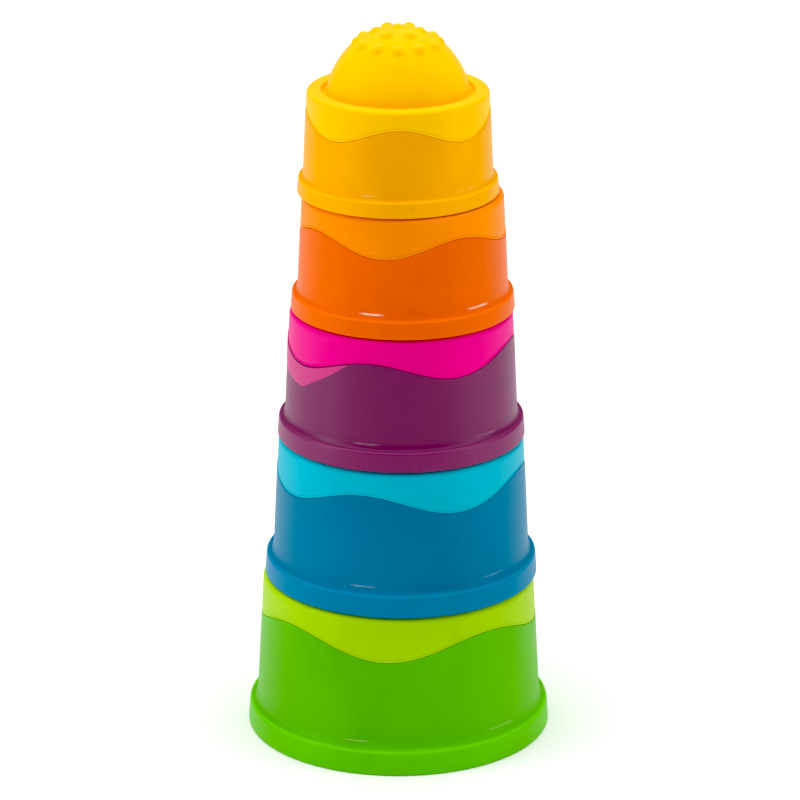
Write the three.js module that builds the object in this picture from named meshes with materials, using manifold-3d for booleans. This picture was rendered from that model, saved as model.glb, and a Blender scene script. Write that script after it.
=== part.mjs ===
// A tower of five stacking cups for a toddler, mouths down, the largest at the bottom.
// Millimetres, +Z up. The origin is the centre of the bottom cup's mouth, on the table.
// Azimuths are measured from the front, -Y, towards +X.
//
// Each cup is a hard shell with a foot band round its mouth. Its top is a thin neck, and a soft
// silicone cap is pulled over that neck. The cap's skirt ends in a wavy edge that lies flush
// with the shell. A bubble in the middle of the cap pops down when a finger pushes it. A
// retaining ring inside the neck clamps the cap's inner bead. Cap and bubble are one moulding,
// made here in three solids: the cap, the bubble's wall, which folds, and its crown, which moves.

import * as THREE from "three";
import { mergeVertices } from "three/addons/utils/BufferGeometryUtils.js";
import Module from "manifold-3d";

// --- Driving dimensions ---------------------------------------------------------------------

// The cups from the table up. topRadius is the shell's radius where the cap's shoulder starts.
// waveHeight and waveRise are the middle and the amplitude of the cap's wavy edge, and crest is
// the azimuth of one of its crests. The cups are stacked loosely, so each stands a little to
// the side of the bottom one, by offset.
const CUPS = [
  { name: "green", footRadius: 50.0, topRadius: 44.85, height: 52.7,
    waveHeight: 41.0, waveRise: 3.4, crest: 40.0, offset: 0.0, shell: 0x55b404, soft: 0xa2d400 },
  { name: "teal", footRadius: 44.8, topRadius: 40.25, height: 47.9,
    waveHeight: 36.5, waveRise: 3.25, crest: -17.2, offset: 0.85, shell: 0x007299, soft: 0x00b0c6 },
  { name: "purple", footRadius: 40.4, topRadius: 36.4, height: 42.9,
    waveHeight: 32.15, waveRise: 2.8, crest: -15.6, offset: 0.9, shell: 0x762759, soft: 0xf0108f },
  { name: "orange", footRadius: 36.3, topRadius: 32.7, height: 38.6,
    waveHeight: 28.1, waveRise: 2.75, crest: 34.0, offset: 1.4, shell: 0xe8641a, soft: 0xf68c00 },
  { name: "yellow", footRadius: 32.5, topRadius: 29.4, height: 33.8,
    waveHeight: 24.9, waveRise: 2.75, crest: 0.7, offset: -0.1, shell: 0xefa600, soft: 0xfdc900 },
];

const GAP = 0.3; // between pieces that touch
const WALL = 2.8; // from the outside of a cup to its inside
const SKIN = 1.2; // the silicone over the neck
const INSET = 0.15; // how far the silicone lies behind the shell's surface

const BAND_RATIO = 0.157; // the foot band's height, over the cup's height
const BAND_DRAFT = 0.4; // how much narrower the band is where its top edge starts to round
const WALL_RATIO = 0.94; // the wall's radius level with the band's top, over the foot's radius
const BAND_ROUND_RATIO = 0.55; // the band's rounded top edge, over how far the band stands out
const FLARE_RATIO = 1.05; // the height in which the wall flares out to the band, over the same
const FOOT_BEVEL = 0.5;

const WAVES = 4; // crests in one turn of the wavy edge

const SHOULDER_RATIO = 0.05; // the radius of the cap's rounded shoulder, over the cap's radius
const GROOVE_RATIO = 0.828; // the outer radius of the groove round the bubble
const BUBBLE_RATIO = 0.785; // the bubble's radius
const GROOVE_DEPTH = 1.3;
const GROOVE_BEVEL = 0.5;
const HINGE = 1.0; // the thin web under the groove, where the bubble folds
const BEAD_DEPTH = 6.6; // from the top of the cap to the end of its inner bead

const BUBBLE_RISE = 0.92; // the bubble's height above its hinge, over its radius
const BUBBLE_PINCH = 0.06; // how far its side is drawn in, over a half ellipse
const BUBBLE_SKIN = 1.6;
const CROWN_EDGE = 43; // the crown's edge, as an angle up round the bubble, in degrees

const RING_FLANGE = 1.6; // the thickness of the retaining ring's flange, under the bead

const NUB_RADIUS = 2.3; // the nubs on the crown
const NUB_RISE = 1.1;
const NUB_ROOT = 0.8; // how deep a nub's solid reaches into the crown
const NUB_TOP_RATIO = 0.5;
const NUB_PITCH = 18.8; // from one ring of nubs to the next, in degrees round the bubble
const NUBS_IN_FIRST_RING = 6; // and twice as many in the second
const NUB_RINGS = 2;
const NUB_SIDES = 5;

const SEGMENTS = 28; // round a turned piece
const ROUND_STEPS = 3; // in a rounded edge
const BUBBLE_STEPS = 3; // up the bubble's wall, and up its crown
const WELD = 1e-3; // points closer than this are one
const DEGREE = Math.PI / 180;

// --- Making solids --------------------------------------------------------------------------

// Turns an outline round +Z. outlineAt gives its [radius, height] points at an azimuth in
// radians, so that an edge can rise and fall on its way round. The points run outwards along
// the bottom, up the outside and back in, and close on themselves or on the axis.
function turned(outlineAt) {
  const start = outlineAt(0).map(([radius, height]) => new THREE.Vector2(radius, height));
  const lathe = new THREE.LatheGeometry(start, SEGMENTS);
  const position = lathe.getAttribute("position");
  for (let i = 0; i <= SEGMENTS; i++) {
    const azimuth = ((i % SEGMENTS) / SEGMENTS) * 2 * Math.PI;
    outlineAt(azimuth).forEach(([radius, height], j) => {
      const [x, z] = [radius * Math.sin(azimuth), radius * Math.cos(azimuth)];
      position.setXYZ(i * start.length + j, x, height, z);
    });
  }
  return lathe.rotateX(Math.PI / 2);
}

// An arc of an outline, between two angles in degrees from the outward direction.
function arc([centreRadius, centreHeight], [across, up], from, to, steps) {
  return Array.from({ length: steps + 1 }, (_, i) => {
    const angle = (from + ((to - from) * i) / steps) * DEGREE;
    return [centreRadius + across * Math.cos(angle), centreHeight + up * Math.sin(angle)];
  });
}

const wasm = await Module();
wasm.setup();

function toManifold(geometry) {
  const bare = geometry.clone();
  bare.deleteAttribute("normal");
  bare.deleteAttribute("uv");
  const merged = mergeVertices(bare, WELD);
  const triangles = [];
  for (let i = 0; i < merged.index.count; i += 3) {
    const corners = [0, 1, 2].map((k) => merged.index.getX(i + k));
    if (new Set(corners).size === 3) triangles.push(...corners);
  }
  const vertProperties = new Float32Array(merged.getAttribute("position").array);
  const triVerts = new Uint32Array(triangles);
  return new wasm.Manifold(new wasm.Mesh({ numProp: 3, vertProperties, triVerts }));
}

function toGeometry(solid) {
  const mesh = solid.getMesh();
  const geometry = new THREE.BufferGeometry();
  const positions = new THREE.BufferAttribute(new Float32Array(mesh.vertProperties), 3);
  geometry.setAttribute("position", positions);
  geometry.setIndex(new THREE.BufferAttribute(new Uint32Array(mesh.triVerts), 1));
  geometry.computeVertexNormals();
  return geometry;
}

// --- A cup's own dimensions -----------------------------------------------------------------

function measured(cup) {
  const bandHeight = BAND_RATIO * cup.height;
  const wallRadius = WALL_RATIO * cup.footRadius;
  const shoulder = SHOULDER_RATIO * cup.topRadius;
  const shoulderHeight = cup.height - shoulder;
  const draft = (wallRadius - cup.topRadius) / (shoulderHeight - bandHeight);
  const outside = (height) => wallRadius - draft * (height - bandHeight);
  const bubbleRadius = BUBBLE_RATIO * cup.topRadius;
  return {
    ...cup,
    bandHeight,
    wallRadius,
    shoulder,
    shoulderHeight,
    outside,
    skirt: (height) => outside(height) - INSET,
    neck: (height) => outside(height) - INSET - SKIN - GAP,
    inside: (height) => outside(height) - WALL,
    neckTop: cup.height - SKIN - GAP,
    grooveRadius: GROOVE_RATIO * cup.topRadius,
    hingeHeight: cup.height - GROOVE_DEPTH,
    beadFoot: cup.height - BEAD_DEPTH,
    bubbleRadius,
    bubbleRise: BUBBLE_RISE * bubbleRadius,
    waveAt: (azimuth) =>
      cup.waveHeight + cup.waveRise * Math.cos(WAVES * (azimuth - cup.crest * DEGREE)),
  };
}

// --- The pieces of a cup --------------------------------------------------------------------

// The hard shell: the foot band, the leaning wall up to its wavy step, and the neck above.
function shellGeometry(cup) {
  const bandRadius = cup.footRadius - BAND_DRAFT;
  const stand = bandRadius - cup.wallRadius;
  const round = BAND_ROUND_RATIO * stand;
  const flare = [stand - round, FLARE_RATIO * stand];
  const flareTop = cup.bandHeight + flare[1];
  const flareRadius = cup.outside(flareTop) + flare[0];
  const ceiling = cup.bandHeight - WALL;
  return turned((azimuth) => {
    const step = cup.waveAt(azimuth);
    return [
      [cup.footRadius - WALL, 0],
      [cup.footRadius - FOOT_BEVEL, 0],
      [cup.footRadius, FOOT_BEVEL],
      ...arc([bandRadius - round, cup.bandHeight - round], [round, round], 0, 90, ROUND_STEPS),
      ...arc([flareRadius, flareTop], flare, 270, 180, ROUND_STEPS).slice(1),
      [cup.outside(step), step],
      [cup.neck(step), step],
      [cup.neck(cup.neckTop), cup.neckTop],
      [cup.inside(cup.neckTop), cup.neckTop],
      [cup.inside(ceiling), ceiling],
      [bandRadius - WALL, ceiling],
      [cup.footRadius - WALL, 0],
    ];
  });
}

// The silicone cap: the skirt with its wavy edge, the rounded shoulder, the groove and its thin
// hinge, and the bead inside the neck.
function capGeometry(cup) {
  const crestRadius = cup.skirt(cup.shoulderHeight) - cup.shoulder;
  const hingeFoot = cup.hingeHeight - HINGE;
  const hingeEdge = cup.bubbleRadius + GAP;
  const beadRadius = cup.inside(cup.neckTop) - GAP;
  return turned((azimuth) => {
    const edge = cup.waveAt(azimuth) + GAP;
    return [
      [cup.skirt(edge), edge],
      ...arc([crestRadius, cup.shoulderHeight], [cup.shoulder, cup.shoulder], 0, 90, ROUND_STEPS),
      [cup.grooveRadius + GROOVE_BEVEL, cup.height],
      [cup.grooveRadius, cup.height - GROOVE_BEVEL],
      [cup.grooveRadius, cup.hingeHeight],
      [hingeEdge, cup.hingeHeight],
      [hingeEdge, hingeFoot],
      [cup.grooveRadius, hingeFoot],
      [cup.grooveRadius, cup.beadFoot],
      [beadRadius, cup.beadFoot],
      [beadRadius, cup.height - SKIN],
      [cup.neck(cup.neckTop) + GAP, cup.height - SKIN],
      [cup.neck(edge) + GAP, edge],
      [cup.skirt(edge), edge],
    ];
  });
}

// A point at a depth under the bubble's surface and an angle up round it, in degrees.
function bubblePoint(cup, depth, angle) {
  const size = [cup.bubbleRadius - depth, cup.bubbleRise - depth];
  const [[radius, height]] = arc([0, cup.hingeHeight], size, angle, angle, 1);
  return [radius * (1 - BUBBLE_PINCH * Math.sin(2 * angle * DEGREE)), height];
}

// The bubble's skin at a depth under its surface, between two angles up round it.
function bubbleArc(cup, depth, from, to) {
  return Array.from({ length: BUBBLE_STEPS + 1 }, (_, i) =>
    bubblePoint(cup, depth, from + ((to - from) * i) / BUBBLE_STEPS));
}

// The bubble's wall, from the hinge up to the crown.
function bubbleWallGeometry(cup) {
  const foot = cup.hingeHeight - HINGE;
  const outline = [
    [cup.bubbleRadius - BUBBLE_SKIN, foot],
    [cup.bubbleRadius, foot],
    ...bubbleArc(cup, 0, 0, CROWN_EDGE),
    ...bubbleArc(cup, BUBBLE_SKIN, CROWN_EDGE, 0),
    [cup.bubbleRadius - BUBBLE_SKIN, foot],
  ];
  return turned(() => outline);
}

// One nub, standing on the bubble at an angle up round it in degrees, and an azimuth in radians.
function nubGeometry(cup, angle, azimuth) {
  const length = NUB_RISE + NUB_ROOT;
  const middle = (NUB_RISE - NUB_ROOT) / 2;
  const nub = new THREE.CylinderGeometry(
    NUB_TOP_RATIO * NUB_RADIUS, NUB_RADIUS, length, NUB_SIDES);
  const around = [Math.sin(azimuth), -Math.cos(azimuth)];
  const [radius, height] = bubblePoint(cup, 0, angle);
  const tilt = [radius / cup.bubbleRadius ** 2, (height - cup.hingeHeight) / cup.bubbleRise ** 2];
  const normal = new THREE.Vector3(around[0] * tilt[0], around[1] * tilt[0], tilt[1]);
  normal.normalize();
  const place = new THREE.Vector3(around[0] * radius, around[1] * radius, height);
  place.addScaledVector(normal, middle);
  nub.applyQuaternion(new THREE.Quaternion().setFromUnitVectors(THREE.Object3D.DEFAULT_UP, normal));
  return nub.translate(place.x, place.y, place.z);
}

// The crown, which a finger pushes: the top of the bubble, with rings of nubs round its middle.
function crownGeometry(cup) {
  const seam = GAP / cup.bubbleRadius / DEGREE;
  const outline = [
    ...bubbleArc(cup, BUBBLE_SKIN, 90, CROWN_EDGE + seam),
    ...bubbleArc(cup, 0, CROWN_EDGE + seam, 90),
  ];
  outline.at(0)[0] = 0;
  outline.at(-1)[0] = 0;
  let crown = toManifold(turned(() => outline));
  for (let ring = 0; ring <= NUB_RINGS; ring++) {
    const angle = 90 - ring * NUB_PITCH;
    const count = Math.max(1, ring * NUBS_IN_FIRST_RING);
    const phase = ring % 2 ? 0.5 : 0;
    for (let k = 0; k < count; k++) {
      const nub = nubGeometry(cup, angle, ((k + phase) / count) * 2 * Math.PI);
      crown = crown.add(toManifold(nub));
    }
  }
  return toGeometry(crown);
}

// The retaining ring: a sleeve inside the cap's bead, and a flange under it.
function ringGeometry(cup) {
  const bore = cup.bubbleRadius;
  const flangeTop = cup.beadFoot - GAP;
  const flangeRadius = cup.inside(cup.neckTop) - GAP;
  const sleeveRadius = cup.grooveRadius - GAP;
  const sleeveTop = cup.hingeHeight - HINGE - GAP;
  const outline = [
    [bore, flangeTop - RING_FLANGE],
    [flangeRadius, flangeTop - RING_FLANGE],
    [flangeRadius, flangeTop],
    [sleeveRadius, flangeTop],
    [sleeveRadius, sleeveTop],
    [bore, sleeveTop],
    [bore, flangeTop - RING_FLANGE],
  ];
  return turned(() => outline);
}

// --- The tower ------------------------------------------------------------------------------

function plastic(color) {
  return new THREE.MeshStandardMaterial({ color, roughness: 0.4, metalness: 0 });
}

function silicone(color) {
  return new THREE.MeshStandardMaterial({ color, roughness: 0.6, metalness: 0 });
}

function cupGroup(cup) {
  const pieces = {
    shell: [shellGeometry, plastic(cup.shell)],
    silicone_cap: [capGeometry, silicone(cup.soft)],
    bubble_wall: [bubbleWallGeometry, silicone(cup.soft)],
    bubble_crown: [crownGeometry, silicone(cup.soft)],
    retaining_ring: [ringGeometry, plastic(cup.shell)],
  };
  const group = new THREE.Group();
  for (const [piece, [makeGeometry, material]] of Object.entries(pieces)) {
    const mesh = new THREE.Mesh(makeGeometry(cup), material);
    mesh.name = `${cup.name}_${piece}`;
    group.add(mesh);
  }
  return group;
}

const tower = new THREE.Group();
let foot = 0;
for (const row of CUPS) {
  const cup = measured(row);
  const group = cupGroup(cup);
  group.position.set(cup.offset, 0, foot);
  tower.add(group);
  foot += cup.height + GAP;
}

export default tower;
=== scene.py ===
# A tower of five stacking cups with soft popping bubbles, on a white studio floor.
# Outlines are in millimetres from the middle of a cup's mouth, and meshes are in metres.
# Azimuths are in radians from the front, -Y, towards +X.

import math

import bpy
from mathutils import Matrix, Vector


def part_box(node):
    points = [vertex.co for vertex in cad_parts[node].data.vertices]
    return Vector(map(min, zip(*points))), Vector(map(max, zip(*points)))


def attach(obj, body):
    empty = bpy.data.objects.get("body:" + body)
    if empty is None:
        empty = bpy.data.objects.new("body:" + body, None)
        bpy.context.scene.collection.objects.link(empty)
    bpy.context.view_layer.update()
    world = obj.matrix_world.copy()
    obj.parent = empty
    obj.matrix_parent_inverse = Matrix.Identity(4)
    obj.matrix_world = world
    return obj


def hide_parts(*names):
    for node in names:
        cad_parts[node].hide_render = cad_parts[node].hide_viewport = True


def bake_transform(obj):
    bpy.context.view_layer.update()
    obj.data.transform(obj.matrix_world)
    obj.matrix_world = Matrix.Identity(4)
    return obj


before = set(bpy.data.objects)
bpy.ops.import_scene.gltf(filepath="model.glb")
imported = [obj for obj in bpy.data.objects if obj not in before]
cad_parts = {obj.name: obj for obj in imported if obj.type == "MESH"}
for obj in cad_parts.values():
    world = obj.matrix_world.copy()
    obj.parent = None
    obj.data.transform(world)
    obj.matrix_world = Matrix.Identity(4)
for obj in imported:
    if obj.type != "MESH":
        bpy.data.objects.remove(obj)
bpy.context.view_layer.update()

MM = 0.001

# --- The cups ---------------------------------------------------------------------------------

# From the table up. The radius is the shell's, where the cap's shoulder starts. The wave is the
# cap's lower edge: its middle height, its amplitude, and the azimuth of a crest in degrees.
CUPS = {
    "green": {"top_radius": 44.85, "wave": (41.0, 3.4, 40.0)},
    "teal": {"top_radius": 40.25, "wave": (36.5, 3.25, -17.2)},
    "purple": {"top_radius": 36.4, "wave": (32.15, 2.8, -15.6)},
    "orange": {"top_radius": 32.7, "wave": (28.1, 2.75, 34.0)},
    "yellow": {"top_radius": 29.4, "wave": (24.9, 2.75, 0.7)},
}

# sRGB colours, 0 to 255: the shell, and the silicone.
COLOURS = {
    "green": ((93, 179, 4), (158, 204, 2)),
    "teal": ((0, 118, 154), (0, 174, 196)),
    "purple": ((118, 40, 89), (228, 14, 134)),
    "orange": ((230, 105, 26), (243, 139, 2)),
    "yellow": ((238, 166, 2), (250, 194, 2)),
}

# How strongly the shell reflects, how much the shell and the silicone tint their reflections,
# how much painted light brightens the foot band over the wall, and how plainly the painted highlights on
# the flare show.
FINISH = {
    "green": {"gloss": 0.16, "shell_glint": 0.7, "soft_glint": 0.6, "band_light": 1.17, "painted_highlight": 0.2},
    "teal": {"gloss": 0.16, "shell_glint": 0.9, "soft_glint": 0.8, "band_light": 1.12, "painted_highlight": 0.18},
    "purple": {"gloss": 0.34, "shell_glint": 0.1, "soft_glint": 0.5, "band_light": 1.15, "painted_highlight": 0.14},
    "orange": {"gloss": 0.14, "shell_glint": 0.6, "soft_glint": 0.75, "band_light": 1.0, "painted_highlight": 0.9},
    "yellow": {"gloss": 0.14, "shell_glint": 0.8, "soft_glint": 0.8, "band_light": 1.04, "painted_highlight": 0.2},
}

WAVES = 4
WALL = 2.8
SKIN = 1.2
INSET = 0.15
GAP = 0.3

BAND_RATIO = 0.157
BAND_DRAFT = 0.4
WALL_RATIO = 0.94
BAND_ROUND_RATIO = 0.55  # the rounding of the band's top edge, over how far the band stands out
FLARE_RATIO = 1.05  # the height over which the wall flares out to the band, over the same
FOOT_ROUND = 0.5
INNER_ROUND = 0.5
CEILING_ROUND = 1.0

SHOULDER_RATIO = 0.05
GROOVE_RATIO = 0.828
BUBBLE_RATIO = 0.785
GROOVE_DEPTH = 1.3
GROOVE_ROUND = 0.7
WEB_ROUND = 0.4
BEAD_ROUND = 0.6
HINGE = 1.0
BEAD_DEPTH = 6.6
EDGE_ROUND = 0.3  # the shell's lip, under the wavy seam
LIP_ROUND = 0.2  # the silicone's lip, over it
SEAM = 0.08
SCORE_START, SCORE_END = 0.6, 0.95  # the fine groove along the skirt, above its edge
SCORE_DEPTH = 0.14
SCORE_FLAT = 0.1  # the width of its flat bottom

BUBBLE_RISE = 0.92
BUBBLE_PINCH = 0.06  # how far the side is drawn in, over a half ellipse
BUBBLE_SKIN = 1.6
BUBBLE_FOOT = 2  # where the outer surface leaves the groove, as an angle up round the bubble
BUBBLE_ROWS, BUBBLE_INNER_ROWS = 110, 30
OUTER_SURFACE = 0.99  # points above this share of the bubble's size are on its outer surface
NUB_RADIUS = 2.5
NUB_RISE = 1.1
NUB_FULLNESS = 1.4  # how flat a nub is on top; 1 is a plain cosine bump
NUB_PITCH = 18.8  # degrees round the bubble, from one ring of nubs to the next
NUB_RINGS = 2
NUBS_IN_FIRST_RING = 6

# The painted highlights on the flare, where the lamps' reflections would fall: two azimuths in degrees,
# and a strength.
PAINTED_HIGHLIGHTS = ((-20.0, -14.0, 1.0), (41.0, 50.0, 0.7))
PAINTED_HIGHLIGHT_RATIO = 0.8  # how high up the flare the painted highlights are
PAINTED_HIGHLIGHT_HALF_HEIGHT = 0.1
PAINTED_HIGHLIGHT_SOFT_HEIGHT = 0.35  # over which a painted highlight fades, up and down
PAINTED_HIGHLIGHT_SOFT_TURN = 0.08  # and round the cup, in radians
PAINTED_HIGHLIGHT_STRETCH = 0.008  # how much the streaks' noise is drawn out round the cup

BAND_LIGHT_FADE = 0.6  # the depth under the band's top over which its painted light comes in
BAND_EDGE_HIGHLIGHT = (0.5, 0.2)  # the painted highlight along the band's top edge, as two depths under it
BAND_EDGE_HIGHLIGHT_SHARE = 0.4

# A torn film of pink silicone on the purple shell, hanging from the wavy edge: azimuths in
# degrees, and how far the film reaches down from the edge there.
FILM = ((-112, 0.0), (-90, 8.0), (-68, 6.8), (-58, 6.9), (-50, 4.8), (-37, 2.5), (-27, 0.0))
FILM_COLOUR = (200, 66, 130)
FILM_THICKNESS = 0.12
FILM_END = 0.02  # how far the film reaches where it starts
FILM_THINNING = 0.9  # the share of its thickness that it loses at its torn edge
FILM_TAPER = 6  # how close to the edge it thins
FILM_COLUMNS, FILM_ROWS = 164, 8

RING_FLANGE = 1.6
RING_ROUND = 0.35
RING_RIBS = 24
RING_RIB_DEPTH = 0.35

COLUMNS = 288  # round a turned mesh

CREASE_ANGLE = 50.0  # edges sharper than this, in degrees, aren't smoothed over

ROOM_BRIGHTNESS = 0.215
BACKDROP_BRIGHTNESS = 1.1
BLACK_LEVEL = 0.035

# Each softbox: its place, what it points at, its size in metres, and its power in watts.
TOWER_MIDDLE = (0, 0, 0.12)
SOFTBOXES = {
    "left_softbox": ((-1.1, -0.3, 0.5), TOWER_MIDDLE, (0.5, 1.1), 6.2),
    "right_softbox": ((1.1, -0.3, 0.45), TOWER_MIDDLE, (0.5, 1.1), 5.0),
    "overhead": ((0.0, 0.3, 1.9), (0, 0.3, 0), (3.2, 3.2), 62),
}
FLOOR_HALF_SIZE = 6.0

CAMERA_PLACE = (0.0005, -1.312, 0.5756)
CAMERA_DOWN = 19.47  # degrees below the horizontal
CAMERA_LENS = 191.8


class Cup:
    """A cup's place, from the frame, and its own dimensions."""

    def __init__(self, name):
        shell_low, shell_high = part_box(f"{name}_shell")
        cap_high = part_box(f"{name}_silicone_cap")[1]
        self.name = name
        self.centre = (shell_low.x + shell_high.x) / 2
        self.foot = shell_low.z
        self.foot_radius = (shell_high.x - shell_low.x) / 2 / MM
        self.height = (cap_high.z - shell_low.z) / MM
        self.top_radius = CUPS[name]["top_radius"]
        self.wave = CUPS[name]["wave"]
        self.band = BAND_RATIO * self.height
        self.band_radius = self.foot_radius - BAND_DRAFT
        self.wall_radius = WALL_RATIO * self.foot_radius
        self.shoulder = SHOULDER_RATIO * self.top_radius
        self.shoulder_height = self.height - self.shoulder
        self.neck_top = self.height - SKIN - GAP
        self.groove_radius = GROOVE_RATIO * self.top_radius
        self.hinge_height = self.height - GROOVE_DEPTH
        self.bead_foot = self.height - BEAD_DEPTH
        self.bubble_radius = BUBBLE_RATIO * self.top_radius
        self.bubble_rise = BUBBLE_RISE * self.bubble_radius

    def outside(self, height):
        draft = (self.wall_radius - self.top_radius) / (self.shoulder_height - self.band)
        return self.wall_radius - draft * (height - self.band)

    def skirt(self, height):
        return self.outside(height) - INSET

    def neck(self, height):
        return self.outside(height) - INSET - SKIN - GAP

    def inside(self, height):
        return self.outside(height) - WALL

    def wave_at(self, azimuth):
        middle, rise, crest = self.wave
        return middle + rise * math.cos(WAVES * (azimuth - math.radians(crest)))


# --- Outlines ---------------------------------------------------------------------------------


def arc(centre, size, start, end, steps):
    """Points on an elliptical arc, between two angles in degrees from the outward direction."""
    points = []
    for i in range(steps + 1):
        angle = math.radians(start + (end - start) * i / steps)
        points.append((centre[0] + size[0] * math.cos(angle), centre[1] + size[1] * math.sin(angle)))
    return points


def corner(point, inwards, radius, start, end, steps=4):
    """A rounded corner: where it would be if it were sharp, and the two signs towards its centre."""
    centre = (point[0] + inwards[0] * radius, point[1] + inwards[1] * radius)
    return arc(centre, (radius, radius), start, end, steps)


def line(start, end, steps):
    """The points between two ends, which are left out."""
    shares = [i / steps for i in range(1, steps)]
    return [tuple(a + (b - a) * share for a, b in zip(start, end)) for share in shares]


def flared(cup, flare):
    """The concave flare between the wall and the band, which follows the wall's lean."""
    middle = (cup.wall_radius + flare[0], cup.band + flare[1])
    points = arc(middle, flare, 270, 180, 12)[1:-1]
    return [(radius + cup.outside(height) - cup.wall_radius, height) for radius, height in points]


def shell_outline(cup, azimuth):
    """The shell, from the inside of its mouth round its outside and back down inside."""
    step = cup.wave_at(azimuth)
    stand = cup.band_radius - cup.wall_radius
    round_ = BAND_ROUND_RATIO * stand
    flare = (stand - round_, FLARE_RATIO * stand)
    ceiling = cup.band - WALL
    foot_inner = cup.foot_radius - WALL
    wall_foot = (cup.outside(cup.band + flare[1]), cup.band + flare[1])
    wall_top = (cup.outside(step - EDGE_ROUND), step - EDGE_ROUND)
    neck_foot = (cup.neck(step), step + INNER_ROUND)
    neck_top = (cup.neck(cup.neck_top), cup.neck_top)
    inner_top = (cup.inside(cup.neck_top), cup.neck_top)
    return [
        *corner((foot_inner, 0), (1, 1), INNER_ROUND, 180, 270),
        *corner((cup.foot_radius, 0), (-1, 1), FOOT_ROUND, 270, 360, 8),
        *line((cup.foot_radius, FOOT_ROUND), (cup.band_radius, cup.band - round_), 8),
        *corner((cup.band_radius, cup.band), (-1, -1), round_, 0, 90, 12),
        *flared(cup, flare),
        wall_foot,
        *line(wall_foot, wall_top, 24),
        *corner((cup.outside(step), step), (-1, -1), EDGE_ROUND, 0, 90, 6),
        (cup.neck(step) + INNER_ROUND, step),
        neck_foot,
        *line(neck_foot, neck_top, 6),
        neck_top,
        inner_top,
        *line(inner_top, (cup.inside(ceiling), ceiling), 16),
        *corner((cup.inside(ceiling), ceiling), (1, 1), CEILING_ROUND, 180, 270),
        *corner((cup.band_radius - WALL, ceiling), (-1, -1), CEILING_ROUND, 90, 0),
        *line((cup.band_radius - WALL, ceiling - CEILING_ROUND), (foot_inner, INNER_ROUND), 5),
    ]


def bubble_point(cup, depth, angle):
    """A point at a depth under the bubble's surface, and an angle up round it in degrees."""
    turn = math.radians(angle)
    pinch = 1 - BUBBLE_PINCH * math.sin(2 * turn)
    radius = (cup.bubble_radius - depth) * math.cos(turn) * pinch
    return (radius, cup.hinge_height + (cup.bubble_rise - depth) * math.sin(turn))


def bubble_outline(cup, depth, start, end, steps):
    angles = [start + (end - start) * i / steps for i in range(steps + 1)]
    return [bubble_point(cup, depth, angle) for angle in angles]


def scored_line(cup, edge):
    """The fine groove that runs along the skirt, just above its wavy edge."""
    middle = (SCORE_START + SCORE_END) / 2
    rises = (SCORE_START, middle - SCORE_FLAT / 2, middle + SCORE_FLAT / 2, SCORE_END)
    depths = (0, SCORE_DEPTH, SCORE_DEPTH, 0)
    return [(cup.skirt(edge + rise) - depth, edge + rise) for rise, depth in zip(rises, depths)]


def moulding_outline(cup, azimuth):
    """Cap, bubble wall and crown, from inside the bubble's top round to its outside."""
    edge = cup.wave_at(azimuth) + SEAM
    web_foot = cup.hinge_height - HINGE
    bead_radius = cup.inside(cup.neck_top) - GAP
    neck_top = (cup.neck(cup.neck_top) + GAP, cup.height - SKIN)
    neck_foot = (cup.neck(edge) + GAP, edge + INNER_ROUND)
    skirt_foot = (cup.skirt(edge + SCORE_END), edge + SCORE_END)
    skirt_top = (cup.skirt(cup.shoulder_height), cup.shoulder_height)
    crest = (skirt_top[0] - cup.shoulder, cup.height)
    groove_top = (cup.groove_radius, cup.height)
    groove_foot = (cup.groove_radius, cup.bead_foot)
    return [
        *bubble_outline(cup, BUBBLE_SKIN, 90, 0, BUBBLE_INNER_ROWS),
        *corner((cup.bubble_radius - BUBBLE_SKIN, web_foot), (1, 1), WEB_ROUND, 180, 270),
        *corner((cup.groove_radius, web_foot), (-1, -1), WEB_ROUND, 90, 0),
        *corner(groove_foot, (1, 1), BEAD_ROUND, 180, 270),
        *corner((bead_radius, cup.bead_foot), (-1, 1), BEAD_ROUND, 270, 360),
        (bead_radius, cup.height - SKIN),
        neck_top,
        *line(neck_top, neck_foot, 8),
        neck_foot,
        *corner((cup.skirt(edge), edge), (-1, 1), LIP_ROUND, 270, 360, 6),
        *scored_line(cup, edge),
        *line(skirt_foot, skirt_top, 10),
        *corner((skirt_top[0], cup.height), (-1, -1), cup.shoulder, 0, 90, 16),
        *line(crest, (cup.groove_radius + GROOVE_ROUND, cup.height), 4),
        *corner(groove_top, (1, -1), GROOVE_ROUND, 90, 180, 6),
        *corner((cup.groove_radius, cup.hinge_height), (-1, 1), WEB_ROUND, 360, 270),
        *bubble_outline(cup, 0, BUBBLE_FOOT, 90, BUBBLE_ROWS),
    ]


def ring_outline(cup, azimuth):
    """The retaining ring, with ribs round its flange."""
    flange_top = cup.bead_foot - GAP
    flange_foot = flange_top - RING_FLANGE
    rib = (0.5 + 0.5 * math.cos(RING_RIBS * azimuth)) ** 3
    flange_radius = cup.inside(cup.neck_top) - GAP - RING_RIB_DEPTH * rib
    sleeve_radius = cup.groove_radius - GAP
    sleeve_top = cup.hinge_height - HINGE - GAP
    bore = cup.bubble_radius
    return [
        *corner((bore, flange_foot), (1, 1), RING_ROUND, 180, 270),
        *corner((flange_radius, flange_foot), (-1, 1), RING_ROUND, 270, 360),
        *corner((flange_radius, flange_top), (-1, -1), RING_ROUND, 0, 90),
        *corner((sleeve_radius, flange_top), (1, 1), RING_ROUND, 270, 180),
        *corner((sleeve_radius, sleeve_top), (-1, -1), RING_ROUND, 0, 90),
        *corner((bore, sleeve_top), (1, -1), RING_ROUND, 90, 180),
    ]


# --- Meshes -----------------------------------------------------------------------------------


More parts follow.
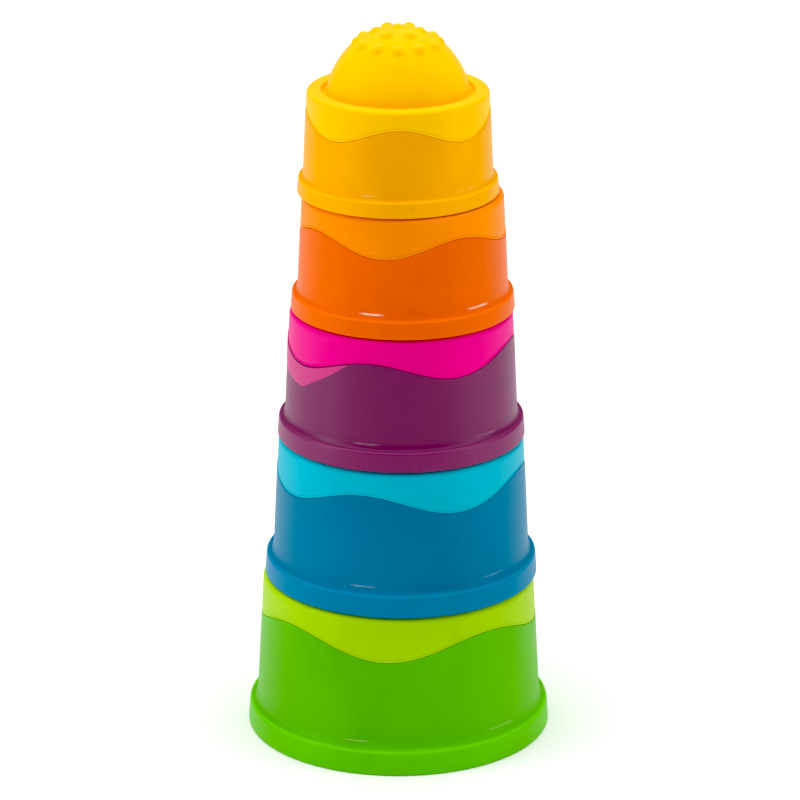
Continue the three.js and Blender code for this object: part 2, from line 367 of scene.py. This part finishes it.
def revolved(name, cup, outline_at, on_axis=False):
    """A mesh turned from an outline, which closes on itself or starts and ends on the axis."""
    azimuths = [2 * math.pi * i / COLUMNS for i in range(COLUMNS)]
    outlines = [outline_at(cup, azimuth) for azimuth in azimuths]
    rows = len(outlines[0])
    turned_rows = range(1, rows - 1) if on_axis else range(rows)
    vertices = []
    for j in turned_rows:
        for azimuth, outline in zip(azimuths, outlines):
            radius, height = outline[j]
            vertices.append((radius * math.sin(azimuth), -radius * math.cos(azimuth), height))
    faces = []
    bands = len(turned_rows) - 1 if on_axis else len(turned_rows)
    for j in range(bands):
        low, high = j * COLUMNS, (j + 1) % len(turned_rows) * COLUMNS
        for i in range(COLUMNS):
            k = (i + 1) % COLUMNS
            faces.append((low + i, low + k, high + k, high + i))
    if on_axis:
        last = (len(turned_rows) - 1) * COLUMNS
        start, end = len(vertices), len(vertices) + 1
        vertices.append((0, 0, outlines[0][0][1]))
        vertices.append((0, 0, outlines[0][-1][1]))
        for i in range(COLUMNS):
            k = (i + 1) % COLUMNS
            faces.append((start, k, i))
            faces.append((end, last + i, last + k))
    mesh = bpy.data.meshes.new(name)
    mesh.from_pydata(vertices, [], faces)
    mesh.update()
    return mesh


def placed(mesh, cup, material):
    """Makes an object of a mesh in a cup's millimetres, standing where the cup stands."""
    for vertex in mesh.vertices:
        x, y, z = vertex.co
        vertex.co = (cup.centre + x * MM, y * MM, cup.foot + z * MM)
    mesh.shade_smooth()
    mesh.set_sharp_from_angle(angle=math.radians(CREASE_ANGLE))
    mesh.materials.append(material)
    piece = bpy.data.objects.new(mesh.name, mesh)
    bpy.context.scene.collection.objects.link(piece)
    return piece


def nub_places(cup):
    """Where each nub stands on the bubble."""
    places = []
    for ring in range(NUB_RINGS + 1):
        radius, height = bubble_point(cup, 0, 90 - ring * NUB_PITCH)
        count = max(1, ring * NUBS_IN_FIRST_RING)
        phase = 0.5 if ring % 2 else 0.0
        for k in range(count):
            azimuth = 2 * math.pi * (k + phase) / count
            places.append(Vector((radius * math.sin(azimuth), -radius * math.cos(azimuth), height)))
    return places


def raise_nubs(mesh, cup):
    """Lifts the bubble's outer surface into nubs."""
    places = nub_places(cup)
    lowest = min(place.z for place in places) - 2 * NUB_RADIUS
    for vertex in mesh.vertices:
        if vertex.co.z < lowest:
            continue
        x, y, z = vertex.co
        rise = z - cup.hinge_height
        turn = math.asin(min(1.0, rise / cup.bubble_rise))
        pinch = 1 - BUBBLE_PINCH * math.sin(2 * turn)
        share = math.hypot(math.hypot(x, y) / (cup.bubble_radius * pinch), rise / cup.bubble_rise)
        if share < OUTER_SURFACE:
            continue
        distance = min((vertex.co - place).length for place in places) / NUB_RADIUS
        if distance >= 1:
            continue
        normal = Vector((x / cup.bubble_radius**2, y / cup.bubble_radius**2, rise / cup.bubble_rise**2))
        lift = NUB_RISE * (0.5 + 0.5 * math.cos(math.pi * distance**NUB_FULLNESS))
        vertex.co += normal.normalized() * lift


# --- Materials --------------------------------------------------------------------------------


def linear(colour):
    """An sRGB colour, 0 to 255, as linear RGBA."""
    shares = [channel / 255 for channel in colour]
    return (*[s / 12.92 if s <= 0.04045 else ((s + 0.055) / 1.055) ** 2.4 for s in shares], 1)


class Nodes:
    """A short way to add and join a material's nodes."""

    def __init__(self, name):
        self.material = bpy.data.materials.new(name)
        self.material.use_nodes = True
        self.tree = self.material.node_tree
        self.shader = self.tree.nodes["Principled BSDF"]

    def add(self, kind, inputs=None, **settings):
        node = self.tree.nodes.new(kind)
        for key, value in settings.items():
            setattr(node, key, value)
        for key, value in (inputs or {}).items():
            if isinstance(value, bpy.types.NodeSocket):
                self.tree.links.new(value, node.inputs[key])
            else:
                node.inputs[key].default_value = value
        return node

    def noise(self, place, scale, detail=2.0, roughness=0.5, distortion=0.0):
        inputs = {"Vector": place, "Scale": scale, "Detail": detail,
                  "Roughness": roughness, "Distortion": distortion}
        return self.add("ShaderNodeTexNoise", inputs).outputs["Fac"]

    def ramp(self, value, low, high, start=0.0, end=1.0):
        inputs = {"Value": value, "From Min": low, "From Max": high, "To Min": start, "To Max": end}
        return self.add("ShaderNodeMapRange", inputs).outputs["Result"]

    def math(self, operation, a, b):
        return self.add("ShaderNodeMath", {0: a, 1: b}, operation=operation).outputs[0]

    def mix(self, share, a, b, blend="MIX"):
        node = self.add("ShaderNodeMix", data_type="RGBA", blend_type=blend)
        for key, value in ((0, share), (6, a), (7, b)):
            if isinstance(value, bpy.types.NodeSocket):
                self.tree.links.new(value, node.inputs[key])
            else:
                node.inputs[key].default_value = value
        return node.outputs[2]

    def bump(self, height, strength, distance, under=None):
        inputs = {"Height": height, "Strength": strength, "Distance": distance}
        if under is not None:
            inputs["Normal"] = under
        return self.add("ShaderNodeBump", inputs).outputs["Normal"]

    def connect(self, socket, value):
        self.tree.links.new(value, self.shader.inputs[socket])


def shade(colour, factor):
    return (*[min(1.0, c * factor) for c in colour[:3]], 1)


def glint(colour, share):
    """A surface's reflections take on a share of its own colour."""
    strongest = max(colour[:3])
    return (*[1 - share * (1 - c / strongest) for c in colour[:3]], 1)


def window(n, value, low, high, soft):
    """One between two ends, falling to nothing over a soft distance outside them."""
    rising = n.ramp(value, low - soft, low)
    return n.math("MULTIPLY", rising, n.ramp(value, high, high + soft, 1.0, 0.0))


def painted_highlight_streaks(n, place, cup):
    """Painted highlights, streaked, on the fillet over the foot band, in two places at the front where the
    lamps' reflections would fall.
    """
    part = n.add("ShaderNodeSeparateXYZ", {"Vector": place}).outputs
    across = n.math("SUBTRACT", part["X"], cup.centre)
    azimuth = n.math("ARCTAN2", across, n.math("MULTIPLY", part["Y"], -1.0))
    flare = FLARE_RATIO * (cup.band_radius - cup.wall_radius)
    fillet = cup.foot + (cup.band + PAINTED_HIGHLIGHT_RATIO * flare) * MM
    around = n.add("ShaderNodeCombineXYZ", {"X": n.math("MULTIPLY", azimuth, PAINTED_HIGHLIGHT_STRETCH), "Y": part["Z"]})
    streaks = n.ramp(n.noise(around.outputs[0], 900.0, 3.0, 0.6), 0.3, 0.6)
    highlight_places = 0.0
    for low, high, strength in PAINTED_HIGHLIGHTS:
        side = window(n, azimuth, math.radians(low), math.radians(high), PAINTED_HIGHLIGHT_SOFT_TURN)
        highlight_places = n.math("ADD", highlight_places, n.math("MULTIPLY", side, strength))
    half = PAINTED_HIGHLIGHT_HALF_HEIGHT * MM
    level = window(n, part["Z"], fillet - half, fillet + half, PAINTED_HIGHLIGHT_SOFT_HEIGHT * MM)
    return n.math("MULTIPLY", n.math("MULTIPLY", highlight_places, level), streaks)


def scuff_marks(n, place):
    """Fine scratches that run round the cup, in patches."""
    stretched = n.add("ShaderNodeMapping", {"Vector": place, "Scale": (1.0, 1.0, 9.0)}).outputs[0]
    lines = n.ramp(n.noise(stretched, 420.0, 4.0, 0.7, 1.4), 0.60, 0.72)
    patches = n.ramp(n.noise(place, 34.0, 2.0), 0.54, 0.72)
    return n.math("MULTIPLY", lines, patches)


def painted_band_light(n, tone, place, colour, cup):
    """Paints light on the foot band, lighter than the wall, and a painted highlight along its top edge."""
    height = n.add("ShaderNodeSeparateXYZ", {"Vector": place}).outputs["Z"]
    top = cup.foot + cup.band * MM
    band_light_mask = n.ramp(height, top, top - BAND_LIGHT_FADE * MM)
    band_light = (FINISH[cup.name]["band_light"],) * 3 + (1,)
    # Painted light: the foot band is made lighter than the wall, as if it were lit more.
    tone = n.mix(band_light_mask, tone, band_light, "MULTIPLY")
    low, high = (top - depth * MM for depth in BAND_EDGE_HIGHLIGHT)
    edge_highlight = window(n, height, low, high, PAINTED_HIGHLIGHT_SOFT_HEIGHT * MM)
    # A painted highlight along the band's rounded top edge.
    return n.mix(n.math("MULTIPLY", edge_highlight, BAND_EDGE_HIGHLIGHT_SHARE), tone, shade(colour, 1.5))


def plastic_material(name, colour, cup):
    """Satin moulded plastic: fine spark-eroded grain, faint flow marks, scuffs and dust, with painted
    light on the foot band and painted highlights on its top edge and on the fillet over it.
    """
    n = Nodes(name)
    finish = FINISH[cup.name]
    place = n.add("ShaderNodeTexCoord").outputs["Object"]
    grain = n.noise(place, 2600.0, 2.0)
    flow = n.noise(place, 26.0, 3.0, 0.55, 0.6)
    scuffs = scuff_marks(n, place)
    specks = n.ramp(n.noise(place, 760.0, 0.0), 0.87, 0.90)
    painted_highlights = painted_highlight_streaks(n, place, cup)

    tone = n.mix(n.ramp(flow, 0.3, 0.7), shade(colour, 0.93), shade(colour, 1.06))
    tone = n.mix(n.math("MULTIPLY", scuffs, 0.22), tone, (0.9, 0.9, 0.88, 1))
    tone = n.mix(n.math("MULTIPLY", specks, 0.35), tone, shade(colour, 0.35))
    tone = painted_band_light(n, tone, place, colour, cup)
    # Painted highlights: whitish streaks on the fillet over the foot band.
    tone = n.mix(n.math("MULTIPLY", painted_highlights, finish["painted_highlight"]), tone, (1.0, 0.92, 0.8, 1))
    n.connect("Base Color", tone)

    rough = n.ramp(flow, 0.3, 0.7, 0.34, 0.42)
    n.connect("Roughness", n.math("ADD", rough, n.math("MULTIPLY", scuffs, 0.18)))
    normal = n.bump(grain, 0.22, 0.00006)
    n.connect("Normal", n.bump(scuffs, 0.12, 0.00004, normal))
    n.shader.inputs["IOR"].default_value = 1.53
    n.shader.inputs["Specular IOR Level"].default_value = finish["gloss"]
    n.shader.inputs["Specular Tint"].default_value = glint(colour, finish["shell_glint"])
    return n.material


def silicone_material(name, colour, finish):
    """Soft silicone: a dry, slightly powdery surface with a little lint."""
    n = Nodes(name)
    place = n.add("ShaderNodeTexCoord").outputs["Object"]
    powder = n.noise(place, 1500.0, 3.0, 0.6)
    cloud = n.noise(place, 40.0, 3.0, 0.5, 0.4)
    lint = n.ramp(n.noise(place, 690.0, 0.0), 0.87, 0.90)
    tone = n.mix(n.ramp(cloud, 0.3, 0.7), shade(colour, 0.95), shade(colour, 1.04))
    tone = n.mix(n.math("MULTIPLY", lint, 0.3), tone, shade(colour, 0.5))
    n.connect("Base Color", tone)
    n.connect("Roughness", n.ramp(cloud, 0.3, 0.7, 0.5, 0.6))
    n.connect("Normal", n.bump(powder, 0.18, 0.00005))
    n.shader.inputs["IOR"].default_value = 1.43
    n.shader.inputs["Specular Tint"].default_value = glint(colour, finish["soft_glint"])
    n.shader.inputs["Sheen Weight"].default_value = 0.12
    n.shader.inputs["Sheen Roughness"].default_value = 0.4
    return n.material


# --- The film on the purple cup ---------------------------------------------------------------


def film_reach(azimuth):
    """How far the film reaches down from the wavy edge at an azimuth in degrees."""
    for (start, low), (end, high) in zip(FILM, FILM[1:]):
        if start <= azimuth <= end:
            share = (azimuth - start) / (end - start)
            return low + (high - low) * share
    return 0.0


def film_section(cup, degrees):
    """Down the film's outside and back up behind it, at an azimuth in degrees."""
    top = cup.wave_at(math.radians(degrees)) - EDGE_ROUND
    reach = max(FILM_END, film_reach(degrees))
    section = []
    for share in (j / FILM_ROWS for j in range(FILM_ROWS + 1)):
        height = top - reach * share
        thickness = FILM_THICKNESS * (1 - FILM_THINNING * share**FILM_TAPER)
        section.append((cup.outside(height) + thickness, height))
    for height in (top - reach, top):
        section.append((cup.outside(height) - FILM_THICKNESS, height))
    return section


def film_mesh(name, cup):
    """A thin solid that lies on the shell, from the wavy edge down to the film's torn edge."""
    start, end = FILM[0][0], FILM[-1][0]
    vertices = []
    for i in range(FILM_COLUMNS + 1):
        degrees = start + (end - start) * i / FILM_COLUMNS
        azimuth = math.radians(degrees)
        for radius, height in film_section(cup, degrees):
            vertices.append((radius * math.sin(azimuth), -radius * math.cos(azimuth), height))
    size = len(vertices) // (FILM_COLUMNS + 1)
    faces = [list(range(size)), list(range(len(vertices) - 1, len(vertices) - 1 - size, -1))]
    for low in range(0, FILM_COLUMNS * size, size):
        for j in range(size):
            k = (j + 1) % size
            faces.append((low + k, low + j, low + size + j, low + size + k))
    mesh = bpy.data.meshes.new(name)
    mesh.from_pydata(vertices, [], faces)
    mesh.update()
    return mesh


def make_film():
    cup = Cup("purple")
    material = silicone_material("purple_film", linear(FILM_COLOUR), FINISH["purple"])
    film = placed(film_mesh("purple_silicone_film", cup), cup, material)
    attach(film, "purple_cup")


# --- The tower --------------------------------------------------------------------------------


def finish_piece(piece, slot, *nodes):
    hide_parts(*nodes)


def make_cup(name):
    cup = Cup(name)
    shell_colour, soft_colour = (linear(colour) for colour in COLOURS[name])
    plastic = plastic_material(f"{name}_plastic", shell_colour, cup)
    silicone = silicone_material(f"{name}_silicone", soft_colour, FINISH[name])

    shell = placed(revolved(f"{name}_moulded_shell", cup, shell_outline), cup, plastic)
    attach(shell, f"{name}_cup")
    finish_piece(shell, f"{name}_plastic", f"{name}_shell")

    ring = placed(revolved(f"{name}_clamp_ring", cup, ring_outline), cup, plastic)
    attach(ring, f"{name}_cup")
    finish_piece(ring, f"{name}_plastic", f"{name}_retaining_ring")

    mesh = revolved(f"{name}_silicone_moulding", cup, moulding_outline, on_axis=True)
    raise_nubs(mesh, cup)
    moulding = placed(mesh, cup, silicone)
    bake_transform(moulding)
    soft_nodes = [f"{name}_{part}" for part in ("silicone_cap", "bubble_wall", "bubble_crown")]
    finish_piece(moulding, f"{name}_silicone", *soft_nodes)


# --- The studio -------------------------------------------------------------------------------


def make_floor():
    size = FLOOR_HALF_SIZE
    mesh = bpy.data.meshes.new("floor")
    corners = [(-size, -size, 0), (size, -size, 0), (size, size, 0), (-size, size, 0)]
    mesh.from_pydata(corners, [], [(0, 1, 2, 3)])
    floor = bpy.data.objects.new("floor", mesh)
    bpy.context.scene.collection.objects.link(floor)
    n = Nodes("white_floor")
    n.shader.inputs["Base Color"].default_value = (0.95, 0.95, 0.95, 1)
    n.shader.inputs["Roughness"].default_value = 0.9
    mesh.materials.append(n.material)


def make_light(name, place, target, size, power):
    light = bpy.data.lights.new(name, "AREA")
    light.shape = "RECTANGLE"
    light.size, light.size_y = size
    light.energy = power
    lamp = bpy.data.objects.new(name, light)
    lamp.location = place
    direction = Vector(target) - Vector(place)
    lamp.rotation_euler = direction.to_track_quat("-Z", "Y").to_euler()
    bpy.context.scene.collection.objects.link(lamp)


def make_surroundings():
    """A dim room, in front of a backdrop that reads as white."""
    world = bpy.data.worlds.new("studio")
    world.use_nodes = True
    tree = world.node_tree
    seen = tree.nodes.new("ShaderNodeLightPath").outputs["Is Camera Ray"]
    strength = tree.nodes.new("ShaderNodeMapRange")
    strength.inputs["To Min"].default_value = ROOM_BRIGHTNESS
    strength.inputs["To Max"].default_value = BACKDROP_BRIGHTNESS
    tree.links.new(seen, strength.inputs["Value"])
    background = tree.nodes["Background"]
    background.inputs["Color"].default_value = (1, 1, 1, 1)
    tree.links.new(strength.outputs["Result"], background.inputs["Strength"])
    bpy.context.scene.world = world


def make_picture_style():
    """Plain colours, with the darkest tones set down to black."""
    settings = bpy.context.scene.view_settings
    settings.view_transform = "Standard"
    settings.use_curve_mapping = True
    settings.curve_mapping.black_level = (BLACK_LEVEL, BLACK_LEVEL, BLACK_LEVEL)


def make_studio():
    make_floor()
    for name, settings in SOFTBOXES.items():
        make_light(name, *settings)
    make_surroundings()
    make_picture_style()


def make_camera():
    """Stands in front of the tower and looks down on it."""
    data = bpy.data.cameras.new("camera")
    data.sensor_width = 36
    data.lens = CAMERA_LENS
    camera = bpy.data.objects.new("camera", data)
    camera.location = CAMERA_PLACE
    camera.rotation_euler = (math.radians(90 - CAMERA_DOWN), 0, 0)
    bpy.context.scene.collection.objects.link(camera)
    bpy.context.scene.camera = camera


make_camera()
make_studio()
for cup_name in CUPS:
    make_cup(cup_name)
make_film()
